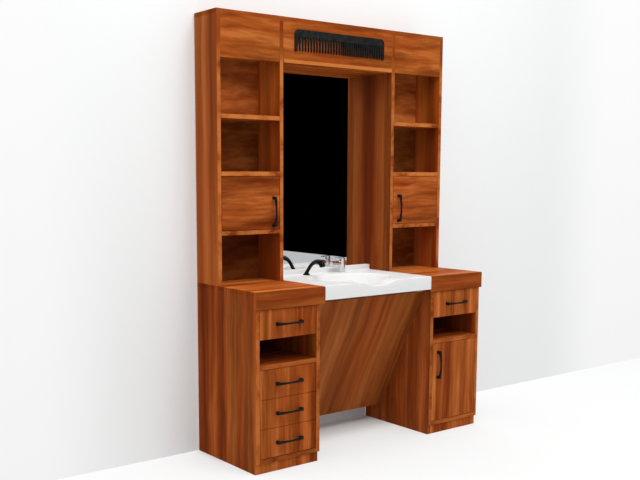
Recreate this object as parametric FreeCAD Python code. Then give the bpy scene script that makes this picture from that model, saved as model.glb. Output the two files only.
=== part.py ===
import FreeCAD
import Part
import math
import os

# Barber's wash station that stands against a wall: two drawer pedestals, a counter with a
# drop-in wash basin between them, and two shelf towers with a mirror alcove in the middle.
#
# Workshop frame while modelling: x = 0 on the basin's centre line, +x to the right,
# y = 0 on the wall with the front towards -y, z = 0 on the floor. Millimetres.
# At the end everything is shifted so that the origin is under the middle of the whole unit.

# ---------------------------------------------------------------- overall sizes
station_width = 1400.0
station_height = 2000.0
board = 20.0                  # laminated board used for all visible panels
back_board = 8.0              # thin board behind shelves, mirror and pedestals
arris = 0.8                   # small bevel that the edge banding gives each board
fit_gap = 0.3                 # between pieces that are only placed against each other
overrun = 1.0                 # how far a cutting body runs past the surface it cuts

# counter
counter_top_z = 796.0
apron_height = 77.0
counter_projection = 7.0      # in front of the pedestals
counter_overhang = 10.0       # past the right pedestal only; the left end is flush
left_counter_reach = 12.0     # left counter past the inner face of the tower that stands on it

# pedestals
pedestal_width = 350.0
pedestal_front = 467.0        # distance from the wall
plinth_height = 45.0
plinth_recess_front = 7.0
plinth_recess_side = 6.0
top_front_height = 128.0      # fronts of the drawers under the counter
niche_height = 110.0          # open niche below them
stretcher_width = 80.0
cupboard_shelf_z = 252.0
cupboard_shelf_setback = 60.0

# towers
tower_depth = 180.0
alcove_inset = 11.0           # towers' inner faces inside the pedestals' inner faces
header_height = 185.0         # header boards, below the top board
low_niche_height = 223.0      # openings between the shelves, from the counter up
door_opening_height = 244.0
middle_niche_height = 231.0

# mirror
mirror_thickness = 5.0
mirror_side_gap = 0.5

# knee panel: leans forward from the wall side at the floor to the basin
knee_top_setback = 55.0       # behind the basin's front
knee_bottom_y = -115.0
knee_bottom_z = 88.0

# what carries the basin
back_rail_height = 100.0      # below the pedestals' tops
cleat_width = 40.0

# basin
basin_projection = 4.0        # in front of the counter
basin_proud = 2.0             # above the counter
basin_drop = 64.5             # height of the front apron
basin_wall = 14.0
basin_deck = 14.0
bowl_setback = 213.0          # from the basin's front to the bowl's centre
bowl_half_width = 225.0
bowl_half_depth = 160.0
bowl_depth = 136.0
bowl_wall = 12.0
neck_dip = 20.0               # the neck rest in the front rim
neck_rest_half_width = 120.0
neck_shoulder = 43.0          # length of one of the two arcs in each shoulder
lip_height = 25.0
lip_thickness = 16.0
basin_edge_bevel = 2.0
lip_edge_radius = 3.0

# waste and trap
waste_flange_radius = 33.0
waste_flange_thickness = 2.5
waste_slots = 3               # slots of the strainer, side by side
waste_slot_width = 4.0
waste_slot_length = 18.0
waste_slot_pitch = 8.0
waste_pipe_radius = 16.0
waste_pipe_wall = 1.5
waste_nut_width = 50.0         # across flats
trap_drop = 60.0              # from the bowl's floor to the trap's inlet
trap_length = 80.0
trap_radius = 27.0
trap_outlet_drop = 22.0       # from the inlet to the outlet's axis
trap_nut_height = 14.0        # union nuts at the inlet and the outlet
trap_nut_width = 42.0         # across flats
trap_bottom_slope = 9.0       # height of the conical bottom
trap_bottom_radius = 17.0

# mixer
mixer_x = 113.0
mixer_y = -71.0
mixer_radius = 16.0
mixer_rose_radius = 18.5
mixer_rose_height = 5.0
mixer_body_top = 66.0         # above the basin's deck
mixer_cap_height = 5.0
mixer_spout_reach = 68.0
mixer_spout_width = 21.0
mixer_spout_low = 35.0        # underside above the deck
mixer_spout_height = 22.0
mixer_outlet_drop = 3.0       # aerator below the spout
mixer_nut_height = 8.0
mixer_shank_radius = 12.5
mixer_shank_length = 42.0
mixer_tail_radius = 5.0
mixer_tail_length = 60.0
mixer_tail_spacing = 14.0
lever_length = 59.0
lever_width = 15.0
lever_thickness = 5.0

# hand spray
spray_x = -108.0
spray_y = -62.0
holder_radius = 17.0
holder_rose_height = 5.0
holder_collar_radius = 12.5
holder_collar_height = 8.0
holder_shank_length = 38.0
spray_stem_radius = 8.0
spray_stem_depth = 30.0       # how far the stem reaches down into the holder
spray_forward = 95.0         # half axes of the oval that the arch follows
spray_rise = 111.0
spray_start = 26.0            # degrees on that oval, at the holder and at the head's face
spray_end = 115.0
spray_bands = 6
spray_neck_radius = 9.0
spray_head_radius = 14.0
spray_face_radius = 12.0      # nozzle plate in the head's face
spray_face_thickness = 2.0

# doors and drawers
front_gap = 2.0               # round every door and drawer front
hinge_cup_radius = 17.5
hinge_cup_depth = 11.5
hinge_cup_edge = 22.0         # cup's centre from the door's edge
hinge_cup_wall = 3.0
hinge_cup_floor = 2.0
hinge_flange_height = 42.0
hinge_flange_thickness = 1.5
hinge_slot_height = 16.0      # opening of the cup in which the arm lies
hinge_plate_thickness = 3.0
hinge_plate_height = 36.0
hinge_plate_depth = 44.0
hinge_arm_width = 15.0
hinge_arm_height = 13.0
hinge_arm_length = 58.0
hinge_arm_bevel = 3.0
hinge_arm_gap = 2.0           # between the arm and the back of the door
hinge_end_distance = 55.0     # hinge's centre from the door's end
low_drawers = 3
top_box_lift = 4.0            # top drawer's box above the niche ceiling
top_box_headroom = 7.0        # and below the stretchers
ceiling_reveal = 1.0          # niche ceiling left in view below the top drawer's front
drawer_rear_space = 39.0      # behind the boxes
drawer_box_board = 12.0
drawer_base = 6.0
drawer_base_rise = 10.0       # base above the lower edge of the box
drawer_groove = 5.0
drawer_box_lift = 14.0        # box above the lower edge of its front
runner_space = 13.0           # between the box and the pedestal's side
runner_height = 42.0
runner_depth = 9.0
runner_sheet = 1.5
runner_clearance = 0.4
runner_setback = 20.0         # by which runners are shorter than the boxes
runner_rise = 19.0            # runner's lower edge above the box's lower edge

# handles: bow handles with flared feet
handle_length = 138.0
handle_reach = 28.0           # how far the bow stands out
handle_bow = 8.0              # rise of the bow over its length
handle_bar = 6.0              # thickness of the bow
handle_foot = 12.0
handle_flare = 7.5            # half height at the feet
handle_waist = 4.0            # half height in the middle
handle_lean = 2.0             # by which the inner faces of the feet slope
door_handle_inset = 35.0      # from the door's free edge to the handle's centre line
tower_handle_rise = 79.0      # its centre above the tower door's lower edge
cupboard_handle_drop = 106.0  # its centre below the cupboard door's upper edge

# ---------------------------------------------------------------- worked-out places
half_width = station_width / 2
knee_half = half_width - pedestal_width
half_alcove = knee_half - alcove_inset
left_counter = (-half_width, -half_alcove + left_counter_reach)
right_counter = (half_alcove, half_width + counter_overhang)
basin_x = (left_counter[1] + fit_gap, right_counter[0] - fit_gap)
tower_inner_face = half_alcove + board
counter_underside_z = counter_top_z - apron_height
counter_front = pedestal_front + counter_projection
basin_front = counter_front + basin_projection
basin_top_z = counter_top_z + basin_proud
basin_bottom_z = basin_top_z - basin_drop
mirror_front_y = -(back_board + mirror_thickness)
lip_back_y = mirror_front_y - fit_gap
top_front_z = (counter_underside_z - front_gap - top_front_height, counter_underside_z - front_gap)
niche_top_z = top_front_z[0] - ceiling_reveal
niche_floor_z = niche_top_z - niche_height - board
pedestal_floor_z = plinth_height + board
door_bottom_shelf_z = counter_top_z + low_niche_height
door_top_shelf_z = door_bottom_shelf_z + board + door_opening_height
top_shelf_z = door_top_shelf_z + board + middle_niche_height
header_z = station_height - board - header_height
bowl_centre_y = bowl_setback - basin_front
bowl_floor_z = basin_top_z - bowl_depth
trap_top_z = bowl_floor_z - trap_drop
trap_bottom_z = trap_top_z - trap_length
trap_outlet_z = trap_top_z - trap_outlet_drop
top_box_z = niche_top_z + board + top_box_lift
drawer_box_height = counter_underside_z - board - top_box_headroom - top_box_z
drawer_box_depth = pedestal_front - board - back_board - drawer_rear_space
runner_length = drawer_box_depth - runner_setback

parts = {}


def keep(name, *solids):
    """File the solids of one sub-part under its name."""
    parts[name] = list(solids)


def span(a, b):
    """Lower and upper end of a stretch given in any order."""
    return min(a, b), max(a, b)


def block(x, y, z):
    """Plain box between the given pairs of coordinates."""
    (x0, x1), (y0, y1), (z0, z1) = span(*x), span(*y), span(*z)
    return Part.makeBox(x1 - x0, y1 - y0, z1 - z0, FreeCAD.Vector(x0, y0, z0))


def panel(x, y, z):
    """Board with banded edges: a box with a small bevel along every edge."""
    solid = block(x, y, z)
    return solid.makeChamfer(arris, solid.Edges)


def prism_along_x(outline, x0, x1):
    """Prism with a closed (y, z) outline."""
    points = [FreeCAD.Vector(x0, y, z) for y, z in outline]
    face = Part.Face(Part.makePolygon(points + points[:1]))
    return face.extrude(FreeCAD.Vector(x1 - x0, 0, 0))


def prism_along_y(outline, y0, y1):
    """Prism with a closed (x, z) outline."""
    points = [FreeCAD.Vector(x, y0, z) for x, z in outline]
    face = Part.Face(Part.makePolygon(points + points[:1]))
    return face.extrude(FreeCAD.Vector(0, y1 - y0, 0))


def upright(radius, x, y, z0, z1):
    """Vertical cylinder."""
    return Part.makeCylinder(radius, z1 - z0, FreeCAD.Vector(x, y, z0))


def level_pipe(radius, x, z, y0, y1):
    """Horizontal cylinder towards the wall."""
    return Part.makeCylinder(radius, y1 - y0, FreeCAD.Vector(x, y0, z), FreeCAD.Vector(0, 1, 0))


def hexagon_nut(width, low, axis, height):
    """Hexagon nut with a width across its flats, standing on a point along an axis."""
    out = width / math.sqrt(3)
    corners = [FreeCAD.Vector(out * math.cos(math.radians(60 * i)), out * math.sin(math.radians(60 * i)), 0)
               for i in range(7)]
    nut = Part.Face(Part.makePolygon(corners)).extrude(FreeCAD.Vector(0, 0, height))
    nut.Placement = FreeCAD.Placement(low, FreeCAD.Rotation(FreeCAD.Vector(0, 0, 1), axis))
    return nut


def arc(start, middle, end):
    """Edge through three points."""
    return Part.Arc(start, middle, end).toShape()


def line(start, end):
    """Straight edge."""
    return Part.makeLine(start, end)


# ---------------------------------------------------------------- pedestals
def pedestal_sides(left_x, top_left_z):
    """Side boards of one pedestal. The left one runs to the floor and is notched for the plinth."""
    right_x = left_x + pedestal_width
    left_side = prism_along_x(
        [(0, 0),
         (-pedestal_front + plinth_recess_front, 0),
         (-pedestal_front + plinth_recess_front, plinth_height),
         (-pedestal_front, plinth_height),
         (-pedestal_front, counter_underside_z),
         (-counter_front + board, counter_underside_z),
         (-counter_front + board, top_left_z),
         (0, top_left_z)],
        left_x, left_x + board)
    right_side = panel((right_x - board, right_x), (-pedestal_front, 0),
                       (plinth_height, counter_underside_z))
    return left_side, right_side


def pedestal_decks(left_x):
    """Floor, niche floor and niche ceiling of one pedestal."""
    inside = (left_x + board, left_x + pedestal_width - board)
    floor = panel(inside, (-pedestal_front, -back_board), (plinth_height, pedestal_floor_z))
    niche_floor = panel(inside, (-pedestal_front, -back_board),
                        (niche_floor_z, niche_floor_z + board))
    behind_front = -pedestal_front + board + front_gap
    niche_ceiling = panel(inside, (behind_front, -back_board), (niche_top_z, niche_top_z + board))
    return floor, niche_floor, niche_ceiling


def pedestal_plinth(left_x):
    """Kick board with its return under the right side, and the rear bearer."""
    right_x = left_x + pedestal_width - plinth_recess_side
    front_y = -pedestal_front + plinth_recess_front
    kick = panel((left_x + board, right_x), (front_y, front_y + board), (0, plinth_height))
    side_return = panel((right_x - board, right_x), (front_y + board, 0), (0, plinth_height))
    bearer = panel((left_x + board, right_x - board), (-board, 0), (0, plinth_height))
    return kick, side_return, bearer


def pedestal_stretchers(left_x):
    """Flat rails that tie the sides under the counter."""
    inside = (left_x + board, left_x + pedestal_width - board)
    z = (counter_underside_z - board, counter_underside_z)
    front_y = -pedestal_front + board + front_gap
    front = panel(inside, (front_y, front_y + stretcher_width), z)
    rear = panel(inside, (-back_board - stretcher_width, -back_board), z)
    return front, rear


left_pedestal_x = -half_width
right_pedestal_x = half_width - pedestal_width
counter_board_z = counter_top_z - board

keep("left_pedestal_sides", *pedestal_sides(left_pedestal_x, counter_board_z))
keep("right_pedestal_sides", *pedestal_sides(right_pedestal_x, counter_underside_z))
keep("left_pedestal_decks", *pedestal_decks(left_pedestal_x))
cupboard_inside = (right_pedestal_x + board, half_width - board)
cupboard_shelf = panel((cupboard_inside[0], cupboard_inside[1]),
                       (-pedestal_front + cupboard_shelf_setback, -back_board),
                       (cupboard_shelf_z, cupboard_shelf_z + board))
keep("right_pedestal_decks", *pedestal_decks(right_pedestal_x), cupboard_shelf)
pedestal_backs = [block((x + board, x + pedestal_width - board), (-back_board, 0),
                        (plinth_height, counter_underside_z))
                  for x in (left_pedestal_x, right_pedestal_x)]
keep("plinths", *pedestal_plinth(left_pedestal_x), *pedestal_plinth(right_pedestal_x))
keep("pedestal_stretchers", *pedestal_stretchers(left_pedestal_x),
     *pedestal_stretchers(right_pedestal_x))

# ---------------------------------------------------------------- counter
def counter_board(x):
    """Top board whose front edge is mitred to the apron."""
    return prism_along_x(
        [(0, counter_board_z), (0, counter_top_z), (-counter_front, counter_top_z),
         (-counter_front + board, counter_board_z)], x[0], x[1])


def counter_apron(x):
    """Front board that makes the counter look thick, mitred at its top."""
    return prism_along_x(
        [(-counter_front, counter_underside_z), (-counter_front + board, counter_underside_z),
         (-counter_front + board, counter_board_z), (-counter_front, counter_top_z)], x[0], x[1])


def counter_frame(ends, strip):
    """End boards between top board and pedestal, and the strip that closes the back."""
    z = (counter_underside_z, counter_board_z)
    boards = [block(x, (-counter_front + board, 0), z) for x in ends]
    return boards + [block(strip, (-board, 0), z)]


left_inner_end = (left_counter[1] - board, left_counter[1])
right_inner_end = (right_counter[0], right_counter[0] + board)
right_outer_end = (right_counter[1] - board, right_counter[1])
keep("left_counter_top", counter_board(left_counter))
keep("right_counter_top", counter_board(right_counter))
keep("counter_aprons", counter_apron(left_counter), counter_apron(right_counter))
keep("counter_frames",
     *counter_frame([left_inner_end], (-half_width + board, left_inner_end[0])),
     *counter_frame([right_inner_end, right_outer_end], (right_inner_end[1], right_outer_end[0])))

# ---------------------------------------------------------------- towers
tower_low_z = counter_top_z
side_top_z = station_height - board


def mirrored(solid):
    """The same piece on the other side of the centre line."""
    return solid.mirror(FreeCAD.Vector(0, 0, 0), FreeCAD.Vector(1, 0, 0))


right_tower_sides = [panel((x, x + board), (-tower_depth, 0), (tower_low_z, side_top_z))
                     for x in (half_alcove, half_width - board)]
tower_inside = (tower_inner_face, half_width - board)
right_tower_shelves = [panel(tower_inside, (-tower_depth, -back_board), (z, z + board))
                       for z in (door_bottom_shelf_z, door_top_shelf_z, top_shelf_z)]
header_y = (-tower_depth, -tower_depth + board)
right_header = panel(tower_inside, header_y, (header_z, side_top_z))
alcove_header = panel((-half_alcove, half_alcove), header_y, (header_z, side_top_z))
alcove_ceiling = block((-half_alcove, half_alcove), (header_y[1], -back_board),
                       (header_z, header_z + board))
right_tower_back = block(tower_inside, (-back_board, 0), (tower_low_z, side_top_z))

keep("right_tower_sides", *right_tower_sides)
keep("left_tower_sides", *[mirrored(s) for s in right_tower_sides])
keep("right_tower_shelves", *right_tower_shelves)
keep("left_tower_shelves", *[mirrored(s) for s in right_tower_shelves])
keep("header_boards", mirrored(right_header), alcove_header, right_header, alcove_ceiling)
keep("back_panels", mirrored(right_tower_back), right_tower_back, *pedestal_backs)
keep("top_board", panel((-half_width, half_width), (-tower_depth, 0), (side_top_z, station_height)))
# the backing goes down behind the basin, beside the end of the left counter
keep("mirror_backing",
     prism_along_y([(left_counter[1], basin_bottom_z), (half_alcove, basin_bottom_z),
                    (half_alcove, side_top_z), (-half_alcove, side_top_z),
                    (-half_alcove, counter_top_z), (left_counter[1], counter_top_z)], -back_board, 0))
keep("mirror_glass",
     block((-half_alcove + mirror_side_gap, half_alcove - mirror_side_gap),
           (mirror_front_y, -back_board), (basin_top_z, header_z - fit_gap)))

# ---------------------------------------------------------------- knee panel and basin carriers
knee_top_y = -(basin_front - knee_top_setback)
knee_run = knee_top_y - knee_bottom_y
knee_rise = counter_underside_z - knee_bottom_z
knee_slope = math.hypot(knee_run, knee_rise)
knee_back = (knee_bottom_y + board * knee_rise / knee_slope,
             knee_bottom_z - board * knee_run / knee_slope)
knee_back_top_y = knee_back[0] + (counter_underside_z - knee_back[1]) * knee_run / knee_rise
keep("knee_panel",
     prism_along_x([(knee_top_y, counter_underside_z), (knee_bottom_y, knee_bottom_z), knee_back,
                    (knee_back_top_y, counter_underside_z)], -knee_half, knee_half))

# the rear rail spans the pedestals and, above their tops, fits between the counter's ends
rail_low_z = counter_underside_z - back_rail_height
back_rail = prism_along_y(
    [(-knee_half, rail_low_z), (knee_half, rail_low_z), (knee_half, counter_underside_z),
     (right_counter[0], counter_underside_z), (right_counter[0], basin_bottom_z),
     (left_counter[1], basin_bottom_z), (left_counter[1], counter_underside_z),
     (-knee_half, counter_underside_z)], -board, 0)
cleats = [block((end, end + inward * cleat_width), (knee_top_y, -board),
                (counter_underside_z, basin_bottom_z))
          for end, inward in ((left_counter[1], 1), (right_counter[0], -1))]
keep("basin_carriers", back_rail, *cleats)


# ---------------------------------------------------------------- basin
def bowl_body(steps):
    """Oval body in conical bands through (height, half width, half depth) steps."""
    wires = []
    for z, half_x, half_y in steps:
        oval = Part.Ellipse(FreeCAD.Vector(0, bowl_centre_y, z), half_x, half_y)
        wires.append(Part.Wire(oval.toShape()))
    return Part.makeLoft(wires, True, True)


inner_bowl = [(0.0, 1.0), (0.05, 0.955), (0.50, 0.76), (0.87, 0.55), (1.0, 0.34)]
outer_bowl = [(0.0, 1.0), (0.50, 0.76), (1.0, 0.36)]


def bowl_steps(shape, wall, drop):
    """Ovals of the bowl from the rim down; wall widens them and drop lowers them."""
    return [(basin_top_z - bowl_depth * down - drop, bowl_half_width * share + wall,
             bowl_half_depth * share + wall) for down, share in shape]


def neck_rest_cutter():
    """Everything above the neck rest: a flat dip with S-shaped shoulders, through the front rim."""
    y = -basin_front - overrun
    half_drop = neck_dip / 2
    radius = (neck_shoulder ** 2 + half_drop ** 2) / (2 * half_drop)
    half_turn = math.asin(neck_shoulder / radius) / 2
    sag = radius * (1 - math.cos(half_turn))
    lean = radius * math.sin(half_turn)
    above = basin_top_z + neck_dip

    def at(x, z):
        return FreeCAD.Vector(x, y, z)

    outer = neck_rest_half_width
    middle = outer - neck_shoulder
    inner = outer - 2 * neck_shoulder
    top, mid, low = basin_top_z, basin_top_z - half_drop, basin_top_z - neck_dip
    edges = [line(at(-outer, above), at(-outer, top)),
             arc(at(-outer, top), at(-outer + lean, top - sag), at(-middle, mid)),
             arc(at(-middle, mid), at(-inner - lean, low + sag), at(-inner, low)),
             line(at(-inner, low), at(inner, low)),
             arc(at(inner, low), at(inner + lean, low + sag), at(middle, mid)),
             arc(at(middle, mid), at(outer - lean, top - sag), at(outer, top)),
             line(at(outer, top), at(outer, above)),
             line(at(outer, above), at(-outer, above))]
    face = Part.Face(Part.Wire(edges))
    return face.extrude(FreeCAD.Vector(0, bowl_centre_y - y, 0))


def basin():
    """Cast one-piece basin: hollow deck, oval bowl, neck rest in front and a lip at the back."""
    back_y = -back_board - fit_gap
    slab = block(basin_x, (-basin_front, back_y), (basin_bottom_z, basin_top_z))
    sharp = [e for e in slab.Edges
             if e.BoundBox.YMin < -basin_front + overrun and e.BoundBox.ZMax > basin_bottom_z + overrun]
    slab = slab.makeChamfer(basin_edge_bevel, sharp)
    hollow = block((basin_x[0] + basin_wall, basin_x[1] - basin_wall),
                   (-basin_front + basin_wall, back_y - basin_wall),
                   (basin_bottom_z, basin_top_z - basin_deck))
    dip_web = block(basin_x, (-basin_front, bowl_centre_y),
                    (basin_top_z - neck_dip - basin_deck, basin_top_z - basin_deck))
    shell = slab.cut(hollow.cut(dip_web))
    shell = shell.fuse(bowl_body(bowl_steps(outer_bowl, bowl_wall, bowl_wall)))
    lip = block(basin_x, (lip_back_y - lip_thickness, lip_back_y),
                (basin_top_z - basin_deck, basin_top_z + lip_height))
    lip_edge = [e for e in lip.Edges
                if e.BoundBox.ZMin > basin_top_z and e.BoundBox.YMax < lip_back_y - overrun]
    shell = shell.fuse(lip.makeFillet(lip_edge_radius, lip_edge))
    shell = shell.cut(bowl_body(bowl_steps(inner_bowl, 0, 0)))
    shell = shell.cut(neck_rest_cutter())
    holes = [upright(waste_pipe_radius + fit_gap, 0, bowl_centre_y,
                     bowl_floor_z - 2 * bowl_wall, bowl_floor_z + bowl_wall),
             upright(mixer_shank_radius + fit_gap, mixer_x, mixer_y,
                     basin_top_z - 2 * basin_deck, basin_top_z + overrun),
             upright(holder_collar_radius + fit_gap, spray_x, spray_y,
                     basin_top_z - 2 * basin_deck, basin_top_z + overrun)]
    for hole in holes:
        shell = shell.cut(hole)
    return shell.removeSplitter()


keep("basin", basin())


def waste_fitting():
    """Slotted waste with its flange in the bowl, its nut below and its tail pipe down to the trap."""
    flange = upright(waste_flange_radius, 0, bowl_centre_y, bowl_floor_z,
                     bowl_floor_z + waste_flange_thickness)
    tail = upright(waste_pipe_radius, 0, bowl_centre_y, trap_top_z, bowl_floor_z)
    bore = upright(waste_pipe_radius - waste_pipe_wall, 0, bowl_centre_y, trap_top_z,
                   bowl_floor_z - waste_flange_thickness)
    nut = hexagon_nut(waste_nut_width, FreeCAD.Vector(0, bowl_centre_y, bowl_floor_z - 2 * bowl_wall),
                      FreeCAD.Vector(0, 0, 1), bowl_wall)
    fitting = flange.fuse([tail, nut]).cut(bore)
    for i in range(waste_slots):
        x = (i - (waste_slots - 1) / 2) * waste_slot_pitch
        fitting = fitting.cut(block((x - waste_slot_width / 2, x + waste_slot_width / 2),
                                    (bowl_centre_y - waste_slot_length / 2,
                                     bowl_centre_y + waste_slot_length / 2),
                                    (bowl_floor_z - 2 * waste_flange_thickness,
                                     bowl_floor_z + 2 * waste_flange_thickness)))
    return fitting


def bottle_trap():
    """Bottle trap under the bowl with its outlet pipe to the wall."""
    shoulder_z = trap_top_z - trap_nut_height
    body = upright(trap_radius, 0, bowl_centre_y, trap_bottom_z, shoulder_z)
    bottom = Part.makeCone(trap_bottom_radius, trap_radius, trap_bottom_slope,
                           FreeCAD.Vector(0, bowl_centre_y, trap_bottom_z - trap_bottom_slope))
    inlet_nut = hexagon_nut(trap_nut_width, FreeCAD.Vector(0, bowl_centre_y, shoulder_z),
                            FreeCAD.Vector(0, 0, 1), trap_nut_height)
    outlet = level_pipe(waste_pipe_radius, 0, trap_outlet_z, bowl_centre_y, 0)
    outlet_nut = hexagon_nut(trap_nut_width,
                             FreeCAD.Vector(0, bowl_centre_y + trap_radius - overrun, trap_outlet_z),
                             FreeCAD.Vector(0, 1, 0), trap_nut_height)
    return body.fuse([bottom, inlet_nut, outlet, outlet_nut])


keep("waste_fitting", waste_fitting())
keep("bottle_trap", bottle_trap())


# ---------------------------------------------------------------- mixer
def mixer_body():
    """Pillar mixer with its rose, stub spout, threaded shank, nut and two supply tails."""
    deck = basin_top_z
    top_z = deck + mixer_body_top
    rose = upright(mixer_rose_radius, mixer_x, mixer_y, deck, deck + mixer_rose_height)
    column = upright(mixer_radius, mixer_x, mixer_y, deck, top_z)
    spout = block((mixer_x - mixer_spout_reach, mixer_x),
                  (mixer_y - mixer_spout_width / 2, mixer_y + mixer_spout_width / 2),
                  (deck + mixer_spout_low, deck + mixer_spout_low + mixer_spout_height))
    long_edges = [e for e in spout.Edges if e.BoundBox.XLength > mixer_spout_reach / 2]
    spout = spout.makeFillet(mixer_spout_height / 4, long_edges)
    spout_low_z = deck + mixer_spout_low
    outlet = upright(mixer_spout_width / 3, mixer_x - mixer_spout_reach + mixer_spout_width / 2,
                     mixer_y, spout_low_z - mixer_outlet_drop, spout_low_z + mixer_spout_height / 3)
    shank_low_z = deck - mixer_shank_length
    shank = upright(mixer_shank_radius, mixer_x, mixer_y, shank_low_z, deck)
    nut = hexagon_nut(2 * mixer_radius, FreeCAD.Vector(mixer_x, mixer_y,
                                                       deck - basin_deck - mixer_nut_height),
                      FreeCAD.Vector(0, 0, 1), mixer_nut_height)
    tails = [upright(mixer_tail_radius, mixer_x + side * mixer_tail_spacing / 2, mixer_y,
                     shank_low_z - mixer_tail_length, shank_low_z) for side in (-1, 1)]
    return rose.fuse([column, spout, outlet, shank, nut] + tails)


def mixer_cap():
    """Turning cap on the mixer's column."""
    low_z = basin_top_z + mixer_body_top + fit_gap
    return upright(mixer_radius, mixer_x, mixer_y, low_z, low_z + mixer_cap_height)


def mixer_lever():
    """Flat lever that tapers towards its tip, on the cap."""
    low_z = basin_top_z + mixer_body_top + fit_gap + mixer_cap_height + fit_gap
    tip_x = mixer_x - lever_length + mixer_radius
    half_root, half_tip = mixer_radius * 0.8, lever_width / 2
    outline = [line(FreeCAD.Vector(mixer_x, mixer_y - half_root, low_z),
                    FreeCAD.Vector(tip_x + half_tip, mixer_y - half_tip, low_z)),
               arc(FreeCAD.Vector(tip_x + half_tip, mixer_y - half_tip, low_z),
                   FreeCAD.Vector(tip_x, mixer_y, low_z),
                   FreeCAD.Vector(tip_x + half_tip, mixer_y + half_tip, low_z)),
               line(FreeCAD.Vector(tip_x + half_tip, mixer_y + half_tip, low_z),
                    FreeCAD.Vector(mixer_x, mixer_y + half_root, low_z)),
               arc(FreeCAD.Vector(mixer_x, mixer_y + half_root, low_z),
                   FreeCAD.Vector(mixer_x + half_root, mixer_y, low_z),
                   FreeCAD.Vector(mixer_x, mixer_y - half_root, low_z))]
    return Part.Face(Part.Wire(outline)).extrude(FreeCAD.Vector(0, 0, lever_thickness))


keep("mixer_body", mixer_body())
keep("mixer_cap", mixer_cap())
keep("mixer_lever", mixer_lever())


# ---------------------------------------------------------------- hand spray
def spray_holder():
    """Deck socket of the hand spray: rose, collar and threaded shank, bored for the stem."""
    deck = basin_top_z
    rose = upright(holder_radius, spray_x, spray_y, deck, deck + holder_rose_height)
    collar = upright(holder_collar_radius, spray_x, spray_y, deck - holder_shank_length,
                     deck + holder_collar_height)
    bore = upright(spray_stem_radius + fit_gap, spray_x, spray_y, deck - holder_shank_length,
                   deck + holder_collar_height)
    return rose.fuse(collar).cut(bore)


def hand_spray():
    """Spray whose neck leans out of the holder and arches forward to a thick, down-facing head."""
    seat_z = basin_top_z + holder_collar_height + fit_gap
    stem = upright(spray_stem_radius, spray_x, spray_y, seat_z - spray_stem_depth, seat_z)
    start, end = math.radians(spray_start), math.radians(spray_end)
    rings = []
    for i in range(spray_bands + 1):
        share = i / spray_bands
        turn = start + (end - start) * share
        centre = FreeCAD.Vector(spray_x, spray_y - spray_forward * (math.cos(start) - math.cos(turn)),
                                seat_z + spray_rise * (math.sin(turn) - math.sin(start)))
        heading = FreeCAD.Vector(0, -spray_forward * math.sin(turn), spray_rise * math.cos(turn))
        if i == 0:
            heading = FreeCAD.Vector(0, 0, 1)
        radius = spray_neck_radius + (spray_head_radius - spray_neck_radius) * share
        rings.append(Part.Wire(Part.Circle(centre, heading, radius).toShape()))
    arch = Part.makeLoft(rings, True, True)
    plate = Part.makeCylinder(spray_face_radius, spray_face_thickness, centre, heading)
    return stem.fuse([arch, plate])


keep("spray_holder", spray_holder())
keep("hand_spray", hand_spray())


# ---------------------------------------------------------------- handles
def bow_handle(centre_x, front_y, centre_z, vertical):
    """Bow handle on a front whose face is at front_y; vertical ones stand on end."""
    half = handle_length / 2
    corner = handle_reach - handle_bow

    def at(x, out):
        return FreeCAD.Vector(x, -out, -handle_flare)

    foot_in = half - handle_foot
    edges = [line(at(-half, 0), at(-foot_in, 0)),
             line(at(-foot_in, 0), at(-foot_in + handle_lean, corner - handle_bar)),
             arc(at(-foot_in + handle_lean, corner - handle_bar), at(0, handle_reach - handle_bar),
                 at(foot_in - handle_lean, corner - handle_bar)),
             line(at(foot_in - handle_lean, corner - handle_bar), at(foot_in, 0)),
             line(at(foot_in, 0), at(half, 0)),
             line(at(half, 0), at(half, corner)),
             arc(at(half, corner), at(0, handle_reach), at(-half, corner)),
             line(at(-half, corner), at(-half, 0))]
    bow = Part.Face(Part.Wire(edges)).extrude(FreeCAD.Vector(0, 0, 2 * handle_flare))

    def up(x, z):
        return FreeCAD.Vector(x, 0, z)

    waist = [arc(up(-half, handle_flare), up(0, handle_waist), up(half, handle_flare)),
             line(up(half, handle_flare), up(half, -handle_flare)),
             arc(up(half, -handle_flare), up(0, -handle_waist), up(-half, -handle_flare)),
             line(up(-half, -handle_flare), up(-half, handle_flare))]
    envelope = Part.Face(Part.Wire(waist)).extrude(FreeCAD.Vector(0, -handle_reach, 0))
    handle = bow.common(envelope)
    if vertical:
        handle.rotate(FreeCAD.Vector(0, 0, 0), FreeCAD.Vector(0, 1, 0), 90)
    handle.translate(FreeCAD.Vector(centre_x, front_y, centre_z))
    return handle


# ---------------------------------------------------------------- doors
def hinge_heights(z):
    """Centres of a door's two hinges."""
    return z[0] + hinge_end_distance, z[1] - hinge_end_distance


def hinged_door(x, face_y, z, hinge_side):
    """Inset door with blind bores for its hinge cups. hinge_side is -1 (left) or 1 (right)."""
    door = panel(x, (face_y, face_y + board), z)
    edge = x[0] if hinge_side < 0 else x[1]
    for height in hinge_heights(z):
        door = door.cut(level_pipe(hinge_cup_radius, edge - hinge_side * hinge_cup_edge, height,
                                   face_y + board - hinge_cup_depth, face_y + board))
    return door


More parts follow.
